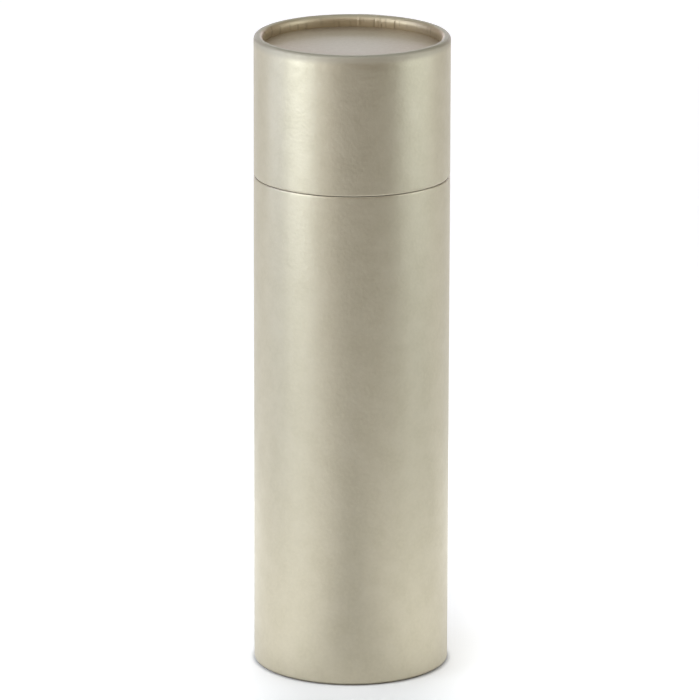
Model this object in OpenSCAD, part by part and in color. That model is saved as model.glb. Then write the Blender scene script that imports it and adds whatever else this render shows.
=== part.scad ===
// Cylindrical gift tube box with rolled rims, a lift-off lid and a neck for it to slide on.
// The lid and the body are cut from one wound paperboard tube in a wrap of metallic paper.
// The origin is the centre of the foot, on the surface that the box stands on. Z points up.
// The lap of the wrap runs down the back, near +Y.

/* [Box] */
// Outer diameter over the wrap
outer_d = 80; // [60:1:120]
// Height of the body from the foot to the seam
body_h = 206; // [80:1:320]
// Height of the lid from its mouth to its rim
lid_h = 57.7; // [45:0.1:120]
// Gap that shows as the seam between the body and the closed lid
seam_gap = 0.3; // [0.1:0.05:1]

/* [Board and paper] */
// Thickness of the wound board of the body and the lid
board_t = 1.4; // [0.8:0.1:2]
// Thickness of the metallic wrap
wrap_t = 0.2; // [0.1:0.05:0.3]
// Width of the lap where the two edges of the wrap meet
lap_w = 9; // [4:0.5:20]
// Angle of the middle of the lap round the box, counted from +X towards +Y at the back
lap_place_a = 79.5; // [0:0.5:359.5]
// Thickness of the liner paper
liner_t = 0.2; // [0.1:0.05:0.3]
// Thickness of the film of glue between two layers
glue_t = 0.05; // [0.02:0.01:0.1]

/* [Rolled rims] */
// Radius of the hollow that is left inside the roll of board
roll_gap = 0.1; // [0.05:0.05:0.6]
// How much wider the roll bends on its inner side than over its crest
curl_more = 1; // [0.2:0.1:2]
// Angle past the crest at which that wider bend begins
curl_a = 45; // [20:5:60]
// Clearance between the tucked edge and the wall where it ends at the disc
tuck_fit = 0.05; // [0.02:0.01:0.2]
// Depth of the discs below the rim and above the foot
recess = 4.75; // [4.25:0.25:12]

/* [Discs] */
// Thickness of the board of the two discs
disc_t = 1.4; // [0.8:0.1:3]
// Thickness of the paper on both faces of a disc
facing_t = 0.2; // [0.1:0.05:0.4]
// Radial clearance between a disc and the tube that it is pushed into
disc_fit = 0.1; // [0.05:0.05:0.3]

/* [Neck] */
// Height of the neck above the seam
neck_h = 30; // [15:1:45]
// Thickness of the wound board of the neck
neck_t = 1.2; // [0.6:0.1:2]
// Thickness of the paper round the neck
neck_wrap_t = 0.2; // [0.1:0.05:0.3]
// Depth to which that paper is turned down inside the neck
turn_in = 12; // [6:1:25]
// Radial clearance between the neck and the bore of the lid and the body
neck_fit = 0.3; // [0.15:0.05:0.6]

/* [Hidden] */
$fn = 120;

champagne = "#d2ccb8";
greyboard = "#a39a8b";
ivory = "#ece7da";

total_h = body_h + seam_gap + lid_h;

// Depths of the layers below the outer surface. The rims are rolled to the same depths.
board_out = wrap_t + glue_t;
board_in = board_out + board_t;
liner_out = board_in + glue_t;
liner_in = liner_out + liner_t;

// Radii of the bore and of the neck that stands in it
outer_r = outer_d / 2;
bore_r = outer_r - board_in;
liner_bore_r = outer_r - liner_in;
neck_wrap_r = liner_bore_r - neck_fit;
neck_r = neck_wrap_r - neck_wrap_t - glue_t;
neck_bore_r = neck_r - neck_t;
neck_liner_r = neck_bore_r - glue_t;
neck_liner_bore_r = neck_liner_r - liner_t;

// The roll is round, and pressed flat where the box stands on it
roll_r = board_in + roll_gap;
press = wrap_t / 3;
roll_x = outer_r - roll_r;
roll_z = roll_r - press;

// Its inner side bends more widely, and then leans back until it nearly meets the wall at the disc
curl_r = roll_r + curl_more;
curl_x = roll_x + curl_more * sin(curl_a);
curl_z = roll_z + curl_more * cos(curl_a);
hollow = bore_r - (curl_x - curl_r + board_in);
tuck_a = atan((hollow - tuck_fit) / (recess - curl_z));

// A disc lies under the rolled edge: facing, board and backing, with glue between them
disc_r = bore_r - disc_fit;
disc_z = recess + facing_t + glue_t;
backing_z = disc_z + disc_t + glue_t;
floor_z = backing_z + facing_t;

neck_top = body_h + neck_h;
neck_edge = neck_top - neck_wrap_t - glue_t;
turn_t = neck_wrap_t + glue_t;
lap_a = 360 * lap_w / (PI * outer_d);

// Everything that the roll and the tucked edge enclose at one depth below the outer surface
module enclosed(depth) {
    intersection() {
        union() {
            translate([roll_x, roll_z]) {
                circle(r = roll_r - depth);
                square([roll_r - depth, recess]);
            }
            translate([curl_x, curl_z]) {
                intersection() {
                    circle(r = curl_r - depth);
                    rotate(90 - curl_a) translate([-recess, 0]) square([2 * recess, recess]);
                }
                rotate(-tuck_a) translate([depth - curl_r, 0]) square([2 * curl_r, recess]);
            }
        }
        square([outer_r - depth, recess]);
    }
}

// Section of one layer of a tube with its lower edge rolled in, between two depths below the
// outer surface: the wall, the roll, and the tucked edge that runs back up to the disc
module rolled_section(depth_out, depth_in, h) {
    difference() {
        enclosed(depth_out);
        enclosed(depth_in);
    }
    translate([outer_r - depth_in, roll_z]) square([depth_in - depth_out, h - roll_z]);
}

// Ring with a plain rectangular section
module sleeve(r_out, r_in, z, h) {
    rotate_extrude() translate([r_in, z]) square([r_out - r_in, h]);
}

module rolled_layer(depth_out, depth_in, h) {
    rotate_extrude() rolled_section(depth_out, depth_in, h);
}

// The wrap, with one edge lying on the other in a strip that goes down the wall and round the roll
module rolled_wrap(h) {
    rolled_layer(0, wrap_t, h);
    rotate_extrude(angle = lap_a, start = lap_place_a - lap_a / 2)
        rolled_section(-wrap_t, wrap_t / 2, h);
}

module disc(r, z, thickness) {
    translate([0, 0, z]) cylinder(r = r, h = thickness);
}

// The lid is drawn as the body is, with its rim down, and turned over onto the neck
module turned_over() {
    translate([0, 0, total_h]) mirror([0, 0, 1]) children();
}

module lid_tube() {
    color(greyboard) turned_over() rolled_layer(board_out, board_in, lid_h);
}

module lid_wrap() {
    color(champagne) turned_over() rolled_wrap(lid_h);
}

module lid_liner() {
    color(ivory) turned_over()
        sleeve(outer_r - liner_out, liner_bore_r, floor_z, lid_h - floor_z);
}

module lid_disc() {
    color(greyboard) turned_over() disc(disc_r, disc_z, disc_t);
}

module lid_disc_facing() {
    color(champagne) turned_over() disc(disc_r, recess, facing_t);
}

module lid_disc_backing() {
    color(ivory) turned_over() disc(disc_r, backing_z, facing_t);
}

module body_tube() {
    color(greyboard) rolled_layer(board_out, board_in, body_h);
}

module body_wrap() {
    color(champagne) rolled_wrap(body_h);
}

module body_liner() {
    color(ivory) sleeve(outer_r - liner_out, liner_bore_r, floor_z, body_h - floor_z);
}

// The neck stands on the base disc and holds it down on the rolled edge
module neck_tube() {
    color(greyboard) sleeve(neck_r, neck_bore_r, floor_z, neck_edge - floor_z);
}

// Section of the paper round the neck, over its top edge and down inside
module neck_wrap_section() {
    flap_r = neck_liner_bore_r - turn_t;
    corner_x = [flap_r + turn_t, neck_wrap_r - turn_t];
    difference() {
        union() {
            translate([flap_r, neck_top - turn_in])
                square([neck_wrap_r - flap_r, turn_in - turn_t]);
            translate([corner_x[0], neck_edge])
                square([corner_x[1] - corner_x[0], turn_t]);
            translate([neck_bore_r, floor_z])
                square([neck_wrap_r - neck_bore_r, neck_edge - floor_z]);
            for (x = corner_x) translate([x, neck_edge]) circle(r = turn_t);
        }
        translate([flap_r + neck_wrap_t, floor_z])
            square([neck_r + glue_t - flap_r - neck_wrap_t, neck_edge + glue_t - floor_z]);
    }
}

module neck_wrap() {
    color(ivory) rotate_extrude() neck_wrap_section();
}

module neck_liner() {
    color(ivory) sleeve(neck_liner_r, neck_liner_bore_r, floor_z, neck_edge - floor_z);
}

module base_disc() {
    color(greyboard) disc(disc_r, disc_z, disc_t);
}

module base_disc_facing() {
    color(champagne) disc(disc_r, recess, facing_t);
}

module base_disc_backing() {
    color(ivory) disc(disc_r, backing_z, facing_t);
}

lid_tube();
lid_wrap();
lid_liner();
lid_disc();
lid_disc_facing();
lid_disc_backing();
body_tube();
body_wrap();
body_liner();
neck_tube();
neck_wrap();
neck_liner();
base_disc();
base_disc_facing();
base_disc_backing();
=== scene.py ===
import math
import random

import bpy
import numpy as np
from mathutils import Matrix, Vector, noise

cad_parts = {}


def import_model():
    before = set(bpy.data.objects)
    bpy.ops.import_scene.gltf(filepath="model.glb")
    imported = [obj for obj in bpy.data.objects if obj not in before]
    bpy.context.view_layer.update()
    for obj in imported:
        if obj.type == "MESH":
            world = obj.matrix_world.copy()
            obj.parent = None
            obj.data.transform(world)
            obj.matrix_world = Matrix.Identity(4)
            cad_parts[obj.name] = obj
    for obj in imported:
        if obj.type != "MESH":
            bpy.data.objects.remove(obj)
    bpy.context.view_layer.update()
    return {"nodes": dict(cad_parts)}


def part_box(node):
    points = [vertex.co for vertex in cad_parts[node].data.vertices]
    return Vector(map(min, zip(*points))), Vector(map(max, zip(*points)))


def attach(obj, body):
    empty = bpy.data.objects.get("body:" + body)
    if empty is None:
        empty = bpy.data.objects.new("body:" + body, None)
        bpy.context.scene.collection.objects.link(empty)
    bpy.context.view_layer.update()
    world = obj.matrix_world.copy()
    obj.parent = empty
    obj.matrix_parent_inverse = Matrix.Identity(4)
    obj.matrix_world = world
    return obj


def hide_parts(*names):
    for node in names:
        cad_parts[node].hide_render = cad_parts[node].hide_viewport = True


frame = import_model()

# Sizes in metres, the same as those of the solids
MM = 0.001
WRAP_T = 0.2 * MM
GLUE_T = 0.05 * MM
BOARD_T = 1.4 * MM
ROLL_GAP = 0.1 * MM
CURL_MORE = 1 * MM
CURL_A = math.radians(45)
LEG_GIVE = 0.44 * MM
RECESS = 4.75 * MM
LINER_T = 0.2 * MM
LINER_PITCH = 141 * MM
NECK_T = 1.2 * MM
TURN_IN = 12 * MM
LAP_W = 9 * MM
LAP_MIDDLE = math.radians(79.5)

# A cut edge of paper: half the width of the step down from it
CUT_STEP = 0.06 * MM

# Rows of a wrap below its cut edge at the seam, and how far the first of them stand back, in mm
EDGE_DROPS = (0, 0.05, 0.12, 0.25, 0.5, 1, 2.5)
EDGE_ROUNDING = (0.32, 0.21, 0.12, 0.05, 0.01)
WALL_ROW = 5 * MM
WALL_UNEVENNESS = 0.05 * MM

# The neck's paper: its lap, the bend over the edge, and the folds in the part that is turned in
NECK_LAP_MIDDLE = math.radians(97)
NECK_LAP_HALF = 4 * MM
NECK_BEND = 0.45 * MM
NECK_FOLDS = 70
NECK_EDGE_UNEVENNESS = 0.6 * MM

# The groove where the edges of a liner's strip meet
GROOVE_DEPTH = 0.09 * MM
GROOVE_HALF = 0.22 * MM
LINER_ROW = 1.2 * MM

OUTER_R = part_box("body_wrap")[1].x
TOTAL_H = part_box("lid_wrap")[1].z
BODY_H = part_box("body_wrap")[1].z
LID_H = TOTAL_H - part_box("lid_wrap")[0].z
SEAM_Z = (BODY_H + TOTAL_H - LID_H) / 2
NECK_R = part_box("neck_wrap")[1].x
ROLL_R = WRAP_T + GLUE_T + BOARD_T + ROLL_GAP
ROLL_X = OUTER_R - ROLL_R
ROLL_Z = ROLL_R - WRAP_T / 3
CURL_R = ROLL_R + CURL_MORE
CURL_X = ROLL_X + CURL_MORE * math.sin(CURL_A)
CURL_Z = ROLL_Z + CURL_MORE * math.cos(CURL_A)

# Above the curl the tucked edge leans back by LEG_GIVE, in one long bend, until it meets the disc
LEG_H = RECESS - CURL_Z
LEG_R = (LEG_H ** 2 + LEG_GIVE ** 2) / (2 * LEG_GIVE)
LEG_A = math.asin(LEG_H / LEG_R)

# The bends of a rolled edge, one after another: centre, radius, direction at both ends, steps
BENDS = [
    (ROLL_X, ROLL_Z, ROLL_R, 0, math.pi / 2 + CURL_A, 24),
    (CURL_X, CURL_Z, CURL_R, math.pi / 2 + CURL_A, math.pi, 10),
    (CURL_X - CURL_R + LEG_R, CURL_Z, LEG_R, math.pi, math.pi + LEG_A, 10),
]

# Creases where the wrap is gathered on the inside of a rolled rim: angle from the back towards +X in
# degrees, depth and half width in mm, lean, and the share of the way from crest to disc at its ends
SEEN_CREASES = [
    (3.9, 0.045, 0.4, 0.3, 0.35, 0.65), (7.1, 0.04, 0.4, -0.3, 0.4, 0.65), (15.2, 0.09, 0.38, 0.6, 0.35, 1),
    (18.4, 0.075, 0.34, -0.4, 0.3, 0.6), (19.6, 0.09, 0.36, 0.3, 0.7, 1), (29.2, 0.105, 0.32, 0.6, 0.35, 1),
    (31.8, 0.055, 0.3, -0.4, 0.4, 0.75),
]
# The depth of a crease, in mm, at which the shade painted into its fold is full, and the number of random
# creases
FULLY_DARK = 0.11
RANDOM_CREASES = 46

random.seed(7)


# Meshes turned about the axis

def smoothstep(low, high, x):
    t = np.clip((x - low) / (high - low), 0, 1)
    return t * t * (3 - 2 * t)


def turned_mesh(name, radius, height, angles, sharp=35):
    """A closed skin from a closed section. radius and height are arrays of section points by angles,
    and angles has either one row for all the points or a row for each."""
    points, steps = radius.shape
    x, y = radius * np.cos(angles), radius * np.sin(angles)
    vertices = np.stack([x, y, height], axis=-1).reshape(-1, 3)
    i = np.arange(points)[:, None]
    j = np.arange(steps)[None, :]
    i_next, j_next = (i + 1) % points, (j + 1) % steps
    corners = [i * steps + j, i_next * steps + j, i_next * steps + j_next, i * steps + j_next]
    faces = np.stack([c + 0 * corners[0] for c in corners], axis=-1).reshape(-1, 4)
    r, z = radius[:, 0], height[:, 0]
    section_area = np.sum(r * np.roll(z, -1) - np.roll(r, -1) * z)
    if section_area > 0:
        faces = faces[:, ::-1]
    mesh = bpy.data.meshes.new(name)
    mesh.from_pydata(vertices.tolist(), [], faces.tolist())
    mesh.validate()
    mesh.shade_smooth()
    mesh.set_sharp_from_angle(angle=math.radians(sharp))
    piece = bpy.data.objects.new(name, mesh)
    bpy.context.scene.collection.objects.link(piece)
    return piece


def section_stations(height):
    """Places along the outside of a wrap whose rim is down: r, z and outward direction, from the cut
    edge down the wall, round the roll and up the tucked edge to the disc."""
    stations = []
    for drop in EDGE_DROPS:
        stations.append((OUTER_R, height - drop * MM, 1, 0))
    rows = max(6, round((height - ROLL_Z) / WALL_ROW))
    top = height - EDGE_DROPS[-1] * MM
    for k in range(1, rows + 1):
        z = top - (top - ROLL_Z) * k / rows
        stations.append((OUTER_R, z, 1, 0))
    for middle_r, middle_z, bend_r, start, end, steps in BENDS:
        for k in range(1, steps + 1):
            a = start + (end - start) * k / steps
            nr, nz = math.cos(a), -math.sin(a)
            stations.append((middle_r + bend_r * nr, middle_z + bend_r * nz, nr, nz))
    return np.array(stations)


def lap_lift(angles):
    """How far the outer layer of the lap stands off: a soft rise over the lower edge, then its cut edge."""
    along = (LAP_MIDDLE - angles) * OUTER_R
    rise = smoothstep(-LAP_W / 2 - 0.9 * MM, -LAP_W / 2 + 0.3 * MM, along)
    end = 1 - smoothstep(LAP_W / 2 - CUT_STEP, LAP_W / 2 + CUT_STEP, along)
    return WRAP_T * 0.9 * rise * end


def wrap_angles():
    """Even steps round the box, with closer ones at the lap's edges and at the seen creases."""
    even = np.linspace(0, 2 * math.pi, 600, endpoint=False)
    edges = [LAP_MIDDLE - (s * LAP_W / 2 + d * MM) / OUTER_R
             for s in (-1, 1) for d in (-0.9, -0.6, -0.3, -0.1, -0.06, -0.02, 0.02, 0.06, 0.1, 0.3)]
    folds = [math.radians(90 - crease[0]) + d * MM / OUTER_R
             for crease in SEEN_CREASES for d in np.arange(-1, 1, 0.09)]
    return np.unique(np.round(np.concatenate([even, edges, folds]), 5))


def creases(seen):
    found = []
    for degrees, *rest in (SEEN_CREASES if seen else []):
        found.append((math.radians(90 - degrees), *rest))
    for k in range(RANDOM_CREASES):
        a = 2 * math.pi * (k + random.uniform(0.1, 0.9)) / RANDOM_CREASES
        start = random.uniform(0.2, 0.6)
        found.append((a, random.uniform(0.01, 0.06), random.uniform(0.3, 0.7), random.uniform(-0.8, 0.8),
                      start, start + random.uniform(0.3, 0.8)))
    return found


def crease_lift(angles, share, found):
    """The height of the creases at one place along the section, and how much shade is painted down in their
    folds.
    share runs from 0 at the crest to 1 at the disc."""
    inner_r = OUTER_R - 2 * ROLL_R
    lift, shade = np.zeros_like(angles), np.zeros_like(angles)
    for a, depth, width, lean, start, end in found:
        off = (np.mod(angles - a + math.pi, 2 * math.pi) - math.pi) * inner_r / MM - lean * share
        fold = np.exp(-(off / width) ** 2)
        lips = np.exp(-((off - 1.6 * width) / width) ** 2) + np.exp(-((off + 1.6 * width) / width) ** 2)
        here = smoothstep(start - 0.1, start + 0.1, share) * (1 - smoothstep(end - 0.1, end + 0.1, share))
        lift += depth * MM * here * (0.05 * lips - fold)
        shade += depth / FULLY_DARK * here * fold
    return lift, np.minimum(shade, 1)


def wall_lift(angles, z):
    """The wound board under the paper isn't quite even."""
    lift = [noise.noise(Vector((1.6 * math.cos(a), 1.6 * math.sin(a), z * 14))) for a in angles]
    return WALL_UNEVENNESS * np.array(lift)


def wrap_piece(name, height, seen, upside_down):
    stations = section_stations(height)
    angles = wrap_angles()
    found = creases(seen)
    lap = lap_lift(angles)
    steps = np.hypot(*np.diff(stations[:, :2], axis=0, prepend=stations[:1, :2]).T) * (stations[:, 2] <= 0)
    way = np.cumsum(steps) / np.sum(steps)
    radius, level, dark = [], [], []
    for k, (r, z, nr, nz) in enumerate(stations):
        lift, shade = lap.copy(), np.zeros_like(angles)
        if nz == 0 and nr == 1:
            lift += wall_lift(angles, z + (BODY_H if upside_down else 0))
            lift -= (EDGE_ROUNDING[k] if k < len(EDGE_ROUNDING) else 0) * MM
        if nr < 0:
            folds, shade = crease_lift(angles, way[k], found)
            lift += folds
        radius.append(r + nr * lift)
        level.append(np.maximum(z + nz * lift, 0))
        dark.append(shade)
    for k in list(range(len(stations) - 1, 5, -3)) + [0]:
        r, z, nr, nz = stations[k]
        radius.append(np.full_like(angles, r - nr * WRAP_T))
        level.append(np.full_like(angles, z - nz * WRAP_T))
    radius, level = np.array(radius), np.array(level)
    if upside_down:
        level = TOTAL_H - level
    piece = turned_mesh(name, radius, level, angles)
    # The painted shade down in the creases' folds is kept on the points as the attribute fold, for the
    # paper's material
    depth = np.zeros(radius.size, np.float32)
    depth[:np.size(dark)] = np.ravel(dark)
    piece.data.attributes.new("fold", "FLOAT", "POINT").data.foreach_set("value", depth)
    return piece


def neck_stations():
    """Places along the outside of the neck's paper: up its wall, over its edge and down inside."""
    foot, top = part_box("neck_wrap")[0].z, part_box("neck_wrap")[1].z
    flap_r = NECK_R - 2 * (WRAP_T + GLUE_T) - NECK_T - LINER_T - GLUE_T - WRAP_T
    bend = NECK_BEND
    stations = [(NECK_R, z, 1, 0) for z in np.linspace(foot, top - 1.5 * MM, 40)]
    for corner, start in ((NECK_R - bend, 0), (flap_r + bend, 90)):
        for degrees in range(start, start + 91, 15):
            a = math.radians(degrees)
            nr, nz = math.cos(a), math.sin(a)
            stations.append((corner + bend * nr, top - bend + bend * nz, nr, nz))
    stations += [(flap_r, z, -1, 0) for z in np.linspace(top - 1.2 * MM, top - TURN_IN, 16)]
    return np.array(stations)


def neck_piece(name):
    """The paper round the neck. Its inner edge isn't cut quite even, and gathers into small folds."""
    stations = neck_stations()
    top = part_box("neck_wrap")[1].z
    half = NECK_LAP_HALF
    edges = [NECK_LAP_MIDDLE + (s * half + d * MM) / NECK_R
             for s in (-1, 1) for d in (-0.8, -0.4, -0.06, 0, 0.06, 0.4)]
    even = np.linspace(0, 2 * math.pi, 480, endpoint=False)
    angles = np.unique(np.round(np.concatenate([even, edges]), 5))
    along = (angles - NECK_LAP_MIDDLE) * NECK_R
    rise = smoothstep(-half - 0.8 * MM, -half + 0.2 * MM, along)
    lap = WRAP_T * 0.8 * rise * (1 - smoothstep(half - CUT_STEP, half + CUT_STEP, along))
    folds = np.zeros_like(angles)
    for k in range(NECK_FOLDS):
        at = 2 * math.pi * (k + random.uniform(0.1, 0.9)) / NECK_FOLDS
        off = (np.mod(angles - at + math.pi, 2 * math.pi) - math.pi) * NECK_R / MM
        folds += random.uniform(0.01, 0.07) * MM * np.exp(-(off / random.uniform(0.25, 0.6)) ** 2)
    uneven = [noise.noise(Vector((3 * math.cos(a), 3 * math.sin(a), 0.4))) for a in angles]
    uneven = np.array(uneven) * NECK_EDGE_UNEVENNESS
    radius, level = [], []
    for r, z, nr, nz in stations:
        inside = max(0.0, -nr)
        down = np.clip((top - z) / TURN_IN, 0, 1) * inside
        lift = lap + folds * inside * (1 - 0.4 * down)
        radius.append(r + nr * lift)
        level.append(z + nz * lift + uneven * down)
    for k in list(range(len(stations) - 1, 0, -4)) + [0]:
        r, z, nr, nz = stations[k]
        down = np.clip((top - z) / TURN_IN, 0, 1) * max(0.0, -nr)
        radius.append(np.full_like(angles, r - nr * WRAP_T))
        level.append(np.full_like(angles, z - nz * WRAP_T) + uneven * down)
    return turned_mesh(name, np.array(radius), np.array(level), angles)


def liner_piece(name, node):
    """A liner wound from one strip: its two edges meet in a fine groove that climbs round the tube."""
    low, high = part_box(node)
    rows = np.linspace(low.z, high.z, max(2, round((high.z - low.z) / LINER_ROW)))
    near = np.array([-0.5, -0.25, -0.12, 0, 0.12, 0.25, 0.5]) * MM / high.x
    columns = np.unique(np.concatenate([np.linspace(0.02, 2 * math.pi - 0.02, 200), near % (2 * math.pi)]))
    off = np.minimum(columns, 2 * math.pi - columns) * high.x
    groove = GROOVE_DEPTH * (1 - smoothstep(0.0, GROOVE_HALF, off))
    outer = high.x
    inner = outer - LINER_T
    # The columns wind round with the groove, so the outside needs close rows too: faces that span
    # a large part of a turn would cut straight across the tube
    outer_rows = np.append(rows[:-1:2], rows[-1])
    radius = [np.full_like(columns, outer) for z in outer_rows] + [inner + groove for z in rows[::-1]]
    level = [np.full_like(columns, z) for z in (*outer_rows, *rows[::-1])]
    level = np.array(level)
    turned = columns + 2 * math.pi * level / LINER_PITCH
    return turned_mesh(name, np.array(radius), level, turned)


# Materials

class Graph:
    """A short way to write a node material."""

    def __init__(self, name):
        self.material = bpy.data.materials.new(name)
        self.material.use_nodes = True
        self.tree = self.material.node_tree
        self.shader = self.tree.nodes["Principled BSDF"]
        self.where = self.node("ShaderNodeTexCoord").outputs["Object"]

    def node(self, kind, inputs=None, **settings):
        made = self.tree.nodes.new(kind)
        for key, value in settings.items():
            setattr(made, key, value)
        for key, value in (inputs or {}).items():
            self.set(made.inputs[key], value)
        return made

    def set(self, socket, value):
        if isinstance(value, bpy.types.NodeSocket):
            self.tree.links.new(value, socket)
        else:
            socket.default_value = value

    def noise(self, size, detail=2.0, roughness=0.5, distortion=0.0):
        """Noise whose blotches are about size metres across."""
        made = self.node("ShaderNodeTexNoise", {"Vector": self.where, "Scale": 1 / size, "Detail": detail,
                                                "Roughness": roughness, "Distortion": distortion})
        return made.outputs["Fac"]

    def height(self):
        return self.node("ShaderNodeSeparateXYZ", {0: self.where}).outputs[2]

    def radius(self):
        flat = self.node("ShaderNodeVectorMath", {0: self.where, 1: (1, 1, 0)}, operation="MULTIPLY")
        length = self.node("ShaderNodeVectorMath", {0: flat.outputs[0]}, operation="LENGTH")
        return length.outputs["Value"]

    def math(self, operation, a, b=0.0):
        return self.node("ShaderNodeMath", {0: a, 1: b}, operation=operation).outputs[0]

    def spread(self, value, low, high, to_low=0.0, to_high=1.0):
        return self.node("ShaderNodeMapRange", {"Value": value, "From Min": low, "From Max": high,
                                                "To Min": to_low, "To Max": to_high}).outputs[0]

    def soft_step(self, value, start, end):
        """From 0 at start to 1 at end. Where start is the higher, it falls as the value grows."""
        low, high = min(start, end), max(start, end)
        to_low, to_high = (0.0, 1.0) if start < end else (1.0, 0.0)
        inputs = {"Value": value, "From Min": low, "From Max": high, "To Min": to_low, "To Max": to_high}
        return self.node("ShaderNodeMapRange", inputs, interpolation_type="SMOOTHSTEP").outputs[0]

    def mix(self, share, a, b):
        made = self.node("ShaderNodeMix", {0: share, 6: a, 7: b}, data_type="RGBA")
        return made.outputs[2]

    def bump(self, height, strength, distance, under=None):
        inputs = {"Height": height, "Strength": strength, "Distance": distance}
        if under is not None:
            inputs["Normal"] = under
        return self.node("ShaderNodeBump", inputs).outputs[0]

    def finish(self, **values):
        for key, value in values.items():
            self.set(self.shader.inputs[key.replace("_", " ")], value)
        return self.material


def colour(red, green, blue):
    """A linear colour from the shown one, 0 to 255."""
    def linear(v):
        v /= 255
        return v / 12.92 if v <= 0.04045 else ((v + 0.055) / 1.055) ** 2.4
    return (linear(red), linear(green), linear(blue), 1)


def champagne_paper():
    """Metallic paper, finely pebbled, with light and shade painted into it in places, as noted below."""
    g = Graph("champagne_metallic_paper")
    cloud = g.noise(9 * MM, 2)
    pebble = g.noise(2.6 * MM, 1, 0.5, distortion=0.25)
    grain = g.noise(1.3 * MM, 1, 0.5)
    tint = g.mix(g.spread(cloud, 0.35, 0.65), colour(189, 182, 160), colour(194, 187, 166))
    tint = g.mix(g.spread(grain, 0.35, 0.7, 0, 0.35), tint, colour(201, 194, 172))
    z = g.height()
    # Painted highlight: the paper is lighter within about half a millimetre of the seam, where its cut
    # edges catch the light
    from_seam = g.math("ABSOLUTE", g.math("SUBTRACT", z, SEAM_Z))
    seam_edge_highlight = g.math("MULTIPLY", g.soft_step(from_seam, 0.55 * MM, 0.2 * MM), 0.5)
    tint = g.mix(seam_edge_highlight, tint, colour(219, 210, 190))
    from_rim = g.math("SUBTRACT", TOTAL_H, z)
    inner = g.soft_step(g.radius(), ROLL_X - 0.4 * MM, ROLL_X - 1.4 * MM)
    outer_bend = g.math("MULTIPLY", g.soft_step(from_rim, 4.5 * MM, 1.5 * MM), g.math("SUBTRACT", 1, inner))
    # Painted reflection: the rim's outer bend is tinted a little darker and greyer, standing in for the
    # light it reflects
    tint = g.mix(outer_bend, tint, colour(183, 177, 160))
    # Painted bounce light: the rim's inner face is tinted warmer and more golden, standing in for light
    # bounced between its facing metallic surfaces
    tint = g.mix(inner, tint, colour(204, 191, 164))
    # Painted shade: a dark brown painted down in the creases' folds, set by the fold attribute
    fold = g.node("ShaderNodeAttribute", attribute_name="fold").outputs["Fac"]
    tint = g.mix(g.math("MULTIPLY", fold, 0.5), tint, colour(96, 76, 44))
    # Painted shade: the paper is darker in the last millimetre above the foot, where the shade under the
    # rolled edge falls
    foot_painted_shade = g.soft_step(z, 1.1 * MM, 0.4 * MM)
    tint = g.mix(g.math("MULTIPLY", foot_painted_shade, 0.8), tint, colour(127, 119, 108))
    rough = g.spread(pebble, 0.3, 0.7, 0.37, 0.43)
    rough = g.math("ADD", rough, g.math("MULTIPLY", outer_bend, 0.18))
    rough = g.math("ADD", rough, g.math("MULTIPLY", inner, 0.07))
    metal = g.spread(outer_bend, 0, 1, 0.85, 0.7)
    normal = g.bump(pebble, 0.42, 0.13 * MM)
    normal = g.bump(grain, 0.6, 0.06 * MM, normal)
    return g.finish(Base_Color=tint, Metallic=metal, Roughness=rough, Normal=normal)


def disc_paper():
    g = Graph("disc_paper")
    mottle = g.noise(1.8 * MM, 3, 0.6)
    grain = g.noise(0.4 * MM, 2)
    # Painted shade and reflection: towards its edge the disc is darker and browner, for the shade by the
    # rim and the golden rim it reflects
    tint = g.mix(g.spread(g.radius(), 8 * MM, 33 * MM), colour(182, 175, 158), colour(175, 160, 139))
    tint = g.mix(g.spread(mottle, 0.35, 0.65, 0, 0.3), tint, colour(199, 192, 177))
    normal = g.bump(grain, 0.3, 0.04 * MM)
    return g.finish(Base_Color=tint, Metallic=0.85, Roughness=0.5, Normal=normal)


def greyboard():
    g = Graph("wound_greyboard")
    ply = g.math("FRACT", g.math("DIVIDE", g.radius(), 0.35 * MM))
    line = g.spread(g.math("ABSOLUTE", g.math("SUBTRACT", ply, 0.5)), 0.38, 0.5)
    fibre = g.noise(0.5 * MM, 4, 0.7)
    tint = g.mix(g.spread(fibre, 0.3, 0.7), colour(150, 139, 124), colour(184, 174, 158))
    tint = g.mix(g.math("MULTIPLY", line, 0.55), tint, colour(104, 94, 82))
    normal = g.bump(fibre, 0.5, 0.08 * MM)
    return g.finish(Base_Color=tint, Roughness=0.92, Normal=normal)


def ivory_paper(name):
    g = Graph(name)
    fibre = g.noise(0.6 * MM, 3, 0.6)
    cloud = g.noise(9 * MM, 2)
    tint = g.mix(g.spread(cloud, 0.35, 0.65), colour(233, 227, 213), colour(240, 235, 223))
    normal = g.bump(fibre, 0.3, 0.05 * MM)
    return g.finish(Base_Color=tint, Roughness=0.78, Normal=normal)


def floor_with_painted_light():
    """A white floor that glows, though it is no lamp: the glow paints pools of light behind the box, beside
    it and round its foot, and fades to nothing in a thin ring at the foot, a painted contact shadow.
    """
    g = Graph("floor")
    split = g.node("ShaderNodeSeparateXYZ", {0: g.where})
    x, y = split.outputs[0], split.outputs[1]
    r = g.radius()
    behind = g.soft_step(y, 0.0, 0.24)
    near = g.soft_step(r, 0.4, 0.15)
    beside = g.soft_step(g.math("ABSOLUTE", x), 0.01, 0.1)
    foot = g.soft_step(r, 0.13, 0.05)
    glow = g.math("MULTIPLY", g.math("MULTIPLY", beside, near), 0.618)
    glow = g.math("ADD", glow, g.math("MULTIPLY", behind, 0.465))
    glow = g.math("ADD", glow, g.math("MULTIPLY", foot, 0.19))
    # Painted contact shadow: the glow drops to nothing in a thin ring round the foot
    glow = g.math("MULTIPLY", glow, g.soft_step(r, 0.0395, 0.042))
    return g.finish(Base_Color=(0.87, 0.87, 0.87, 1), Roughness=0.9, Emission_Color=(1, 1, 1, 1),
                    Emission_Strength=glow)


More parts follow.
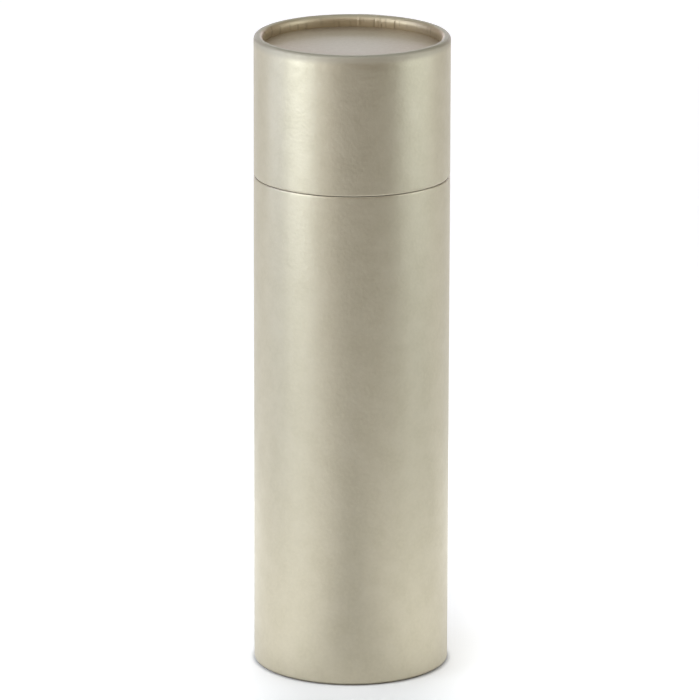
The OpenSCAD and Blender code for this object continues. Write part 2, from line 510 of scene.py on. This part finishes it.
WRAP_PAPER = champagne_paper()
DISC_PAPER = disc_paper()
BOARD = greyboard()
NECK_PAPER = ivory_paper("ivory_neck_paper")
LINER_PAPER = ivory_paper("ivory_liner_paper")


def dress(piece, material):
    piece.data.materials.clear()
    piece.data.materials.append(material)


for node, material in {
    "lid_tube": BOARD, "lid_disc": BOARD, "body_tube": BOARD, "neck_tube": BOARD, "base_disc": BOARD,
    "lid_liner": LINER_PAPER, "body_liner": LINER_PAPER, "neck_liner": LINER_PAPER,
    "lid_disc_backing": NECK_PAPER, "base_disc_backing": NECK_PAPER, "neck_wrap": NECK_PAPER,
    "lid_disc_facing": DISC_PAPER, "base_disc_facing": DISC_PAPER,
}.items():
    dress(frame["nodes"][node], material)


# The papers that are made here, each in place of its solid

def paper(piece, node, body, material):
    dress(piece, material)
    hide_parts(node)
    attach(piece, body)


lid_wrap = wrap_piece("lid_wrap_paper", LID_H, seen=True, upside_down=True)
body_wrap = wrap_piece("body_wrap_paper", BODY_H, seen=False, upside_down=False)
paper(lid_wrap, "lid_wrap", "lid", WRAP_PAPER)
paper(body_wrap, "body_wrap", "base", WRAP_PAPER)
paper(neck_piece("neck_paper"), "neck_wrap", "base", NECK_PAPER)
paper(liner_piece("lid_liner_paper", "lid_liner"), "lid_liner", "lid", LINER_PAPER)
paper(liner_piece("neck_liner_paper", "neck_liner"), "neck_liner", "base", LINER_PAPER)


# Stage, light and camera

CAMERA_PITCH = 15.25
CAMERA_ROLL = 0.131
CAMERA_AIM = (-0.00062, 0, 0.13164)
CAMERA_DISTANCE = 2.75
CAMERA_LENS = 344.96
STRIP_DISTANCE = 0.75
STRIP_HEIGHT = 0.46
STRIP_LENGTH = 0.8


def floor():
    bpy.ops.mesh.primitive_plane_add(size=16)
    made = bpy.context.object
    made.name = "floor"
    dress(made, floor_with_painted_light())


def area_light(name, where, aim, size, power, tint):
    data = bpy.data.lights.new(name, "AREA")
    data.shape = "RECTANGLE"
    data.size, data.size_y = size
    data.energy = power
    data.color = tint
    lamp = bpy.data.objects.new(name, data)
    lamp.location = where
    lamp.rotation_euler = (Vector(aim) - Vector(where)).to_track_quat("-Z", "Y").to_euler()
    bpy.context.scene.collection.objects.link(lamp)


def round_the_box(azimuth, distance, height):
    """A place by its angle from the camera's side, positive to the right."""
    a = math.radians(azimuth)
    return (distance * math.sin(a), -distance * math.cos(a), height)


def world(strength, tint):
    made = bpy.data.worlds.new("studio")
    made.use_nodes = True
    made.node_tree.nodes["Background"].inputs[0].default_value = (*tint, 1)
    made.node_tree.nodes["Background"].inputs[1].default_value = strength
    bpy.context.scene.world = made


def camera():
    """The photograph's view, as it was fitted to the outline: a long lens from 15 degrees above."""
    pitch, roll = math.radians(CAMERA_PITCH), math.radians(CAMERA_ROLL)
    aim = Vector(CAMERA_AIM)
    forward = Vector((0, math.cos(pitch), -math.sin(pitch)))
    level = Vector((1, 0, 0))
    up = level.cross(forward)
    right = math.cos(roll) * level + math.sin(roll) * up
    top = -math.sin(roll) * level + math.cos(roll) * up
    place = aim - forward * CAMERA_DISTANCE
    data = bpy.data.cameras.new("camera")
    data.sensor_width = 36
    data.lens = CAMERA_LENS
    data.clip_end = 50
    made = bpy.data.objects.new("camera", data)
    made.matrix_world = Matrix((
        (right.x, top.x, -forward.x, place.x),
        (right.y, top.y, -forward.y, place.y),
        (right.z, top.z, -forward.z, place.z),
        (0, 0, 0, 1),
    ))
    bpy.context.scene.collection.objects.link(made)
    bpy.context.scene.camera = made


floor()
camera()
world(0.212, (1, 0.66, 0.41))
for name, azimuth, width, power, tint in (
    ("left_softbox", -62, 0.48, 4.11, (0.83, 0.91, 1)),
    ("left_edge_strip", -97, 0.25, 1.24, (0.63, 0.73, 1)),
    ("left_front_strip", -30, 0.2, 0.546, (1, 0.97, 0.99)),
    ("right_softbox", 78, 0.58, 2.53, (0.85, 0.95, 1)),
):
    where = round_the_box(azimuth, STRIP_DISTANCE, STRIP_HEIGHT)
    area_light(name, where, (0, 0, STRIP_HEIGHT), (width, STRIP_LENGTH), power, tint)
area_light("top_light", (0, 0, 2.4), (0, 0, 0), (4, 4), 20.9, (0.58, 0.85, 1))
area_light("back_light", (0, 2.2, 1.4), (0, 0, 0.2), (2.5, 1.5), 8.44, (0.91, 1, 0.98))
area_light("low_back_light", (0, 3, 0.55), (0, 0, 0.2), (3, 1.1), 29.2, (0.76, 0.77, 1))
area_light("front_light", (0, -1.6, 1.6), (0, 0, 0.1), (1.5, 1.0), 4.51, (0.94, 0.98, 1))
bpy.context.scene.view_settings.view_transform = "Standard"
